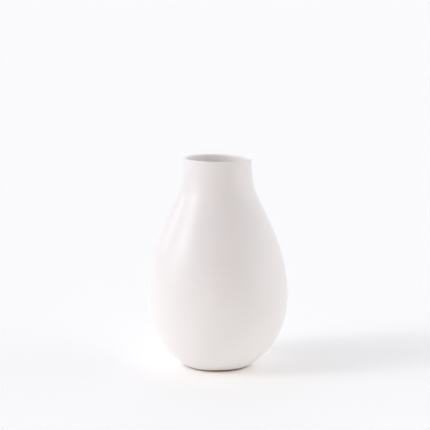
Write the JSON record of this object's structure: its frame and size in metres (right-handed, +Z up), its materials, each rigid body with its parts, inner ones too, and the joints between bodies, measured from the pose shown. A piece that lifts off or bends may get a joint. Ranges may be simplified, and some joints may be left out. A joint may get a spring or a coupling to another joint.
{
  "type": "bud vase",
  "caption": "Round-bellied ceramic bud vase with a short open neck, white glaze coats over a brown clay body, a bare foot ring and felt pads under the base.",
  "frame": {"origin": "where the turning axis meets the table, level with the undersides of the felt pads", "axes": "+Z up the turning axis to the mouth; X and Y are level, and the pads lie between them at 45 degrees"},
  "size_m": [0.111, 0.111, 0.165],
  "materials": {
    "bare_clay": "matte",
    "white_glaze": "satin",
    "liner_glaze": "gloss",
    "base_glaze": "satin",
    "felt": "matte"
  },
  "bodies": {
    "root": {"clay_body": "bare_clay", "outer_glaze": "white_glaze", "inner_glaze": "liner_glaze", "base_glaze": "base_glaze", "foot_pad_1": "felt", "foot_pad_2": "felt", "foot_pad_3": "felt", "foot_pad_4": "felt"}
  },
  "joints": []
}
